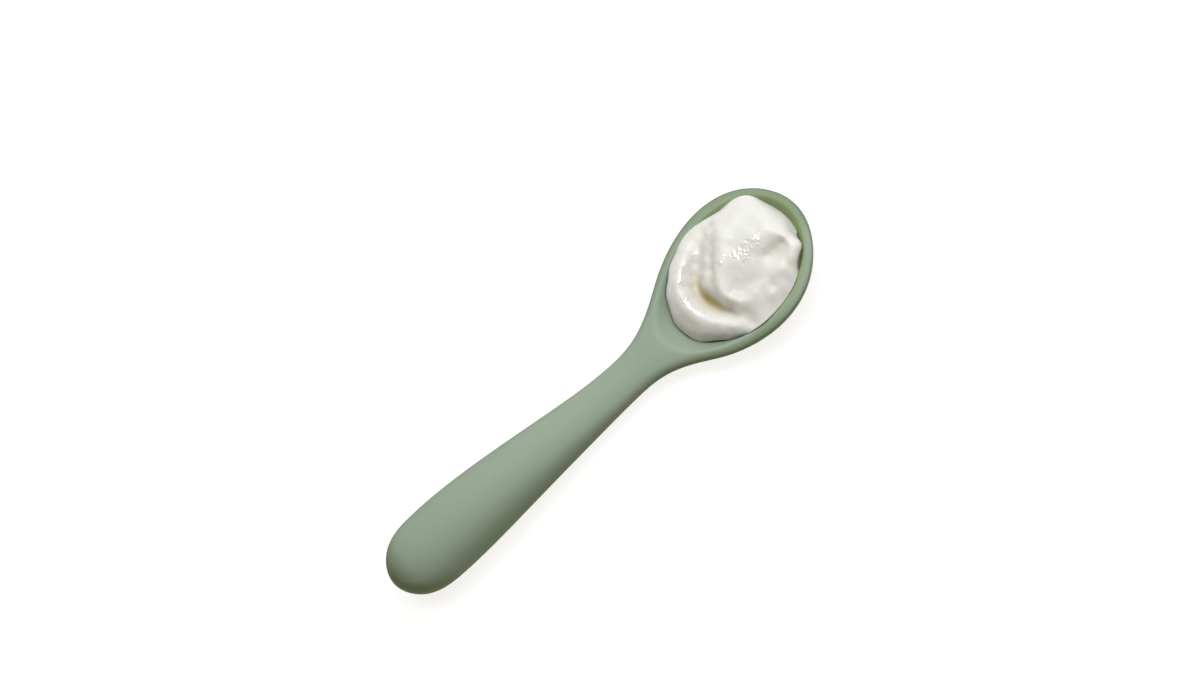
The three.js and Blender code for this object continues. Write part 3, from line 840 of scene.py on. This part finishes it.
whey_and_painted_shade = np.zeros(len(heap_points))
# whey and painted shade along the trough, only in its deep part
for along, across, amount in curve_points(TROUGH_WHEY_AND_SHADE, WHEY_AND_SHADE_STEPS):
    away = np.hypot(heap_points[:, 0] - along, heap_points[:, 1] - across)
    whey_and_painted_shade = np.maximum(whey_and_painted_shade, amount * np.exp(-(away / WHEY_AND_SHADE_HALF_WIDTH) ** 2))
whey_and_painted_shade *= np.clip((WHEY_AND_SHADE_TOP - heap_points[:, 2]) / WHEY_AND_SHADE_FADE, 0, 1)
# painted shade: darker, warmer spots in the pocket, the flank, the lip and the hollows
for along, across, radius, amount in PAINTED_SHADE_SPOTS:
    away = np.hypot(heap_points[:, 0] - along, heap_points[:, 1] - across)
    whey_and_painted_shade = np.maximum(whey_and_painted_shade, amount * np.exp(-(away / radius) ** 2))
store_on_points(yogurt, "whey_and_painted_shade", whey_and_painted_shade)
store_on_points(yogurt, "grain", grain_amount)

# %% Yogurt finish
YOGURT_WHITE = (0.735, 0.698, 0.628, 1)
WHEY_AND_SHADE_TINT = (0.38, 0.29, 0.12, 1)
MOIST_ROUGHNESS, WET_ROUGHNESS = 0.38, 0.10
FULL_COAT_FROM = 0.5
YOGURT_GRAIN, YOGURT_GRAIN_STRENGTH = 0.4, 0.3

cream = Finish("moist_yogurt")
# the tint is partly real yellow whey and partly painted shade
cream_tone = mix(cream, number_on_points(cream, "whey_and_painted_shade"), YOGURT_WHITE, WHEY_AND_SHADE_TINT)
grain_here = number_on_points(cream, "grain")
set_shader(cream, {"Base Color": cream_tone,
                   "Roughness": ramp(cream, grain_here, 0.0, 1.0, MOIST_ROUGHNESS, WET_ROUGHNESS),
                   "IOR": 1.36,
                   "Subsurface Weight": 0.35,
                   "Subsurface Radius": (1.0, 0.75, 0.5),
                   "Subsurface Scale": 0.9 * MM,
                   "Coat Weight": ramp(cream, grain_here, 0.0, FULL_COAT_FROM),
                   "Coat Roughness": 0.08,
                   "Coat IOR": 2.0})
add_grain(cream, YOGURT_GRAIN, YOGURT_GRAIN_STRENGTH)
yogurt.data.materials.append(cream.material)
print("yogurt finish nodes:", len(cream.nodes))

# %% [markdown]
# ## Join the pieces to the frame
# Both skins belong to the one body, and each is shown in place of its CAD node, which is hidden.

# %% Ride, and take the CAD parts' place
for piece, node, slot in ((spoon, "spoon", "silicone"), (yogurt, "yogurt", "yogurt")):
    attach(piece, "root")
    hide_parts(node)
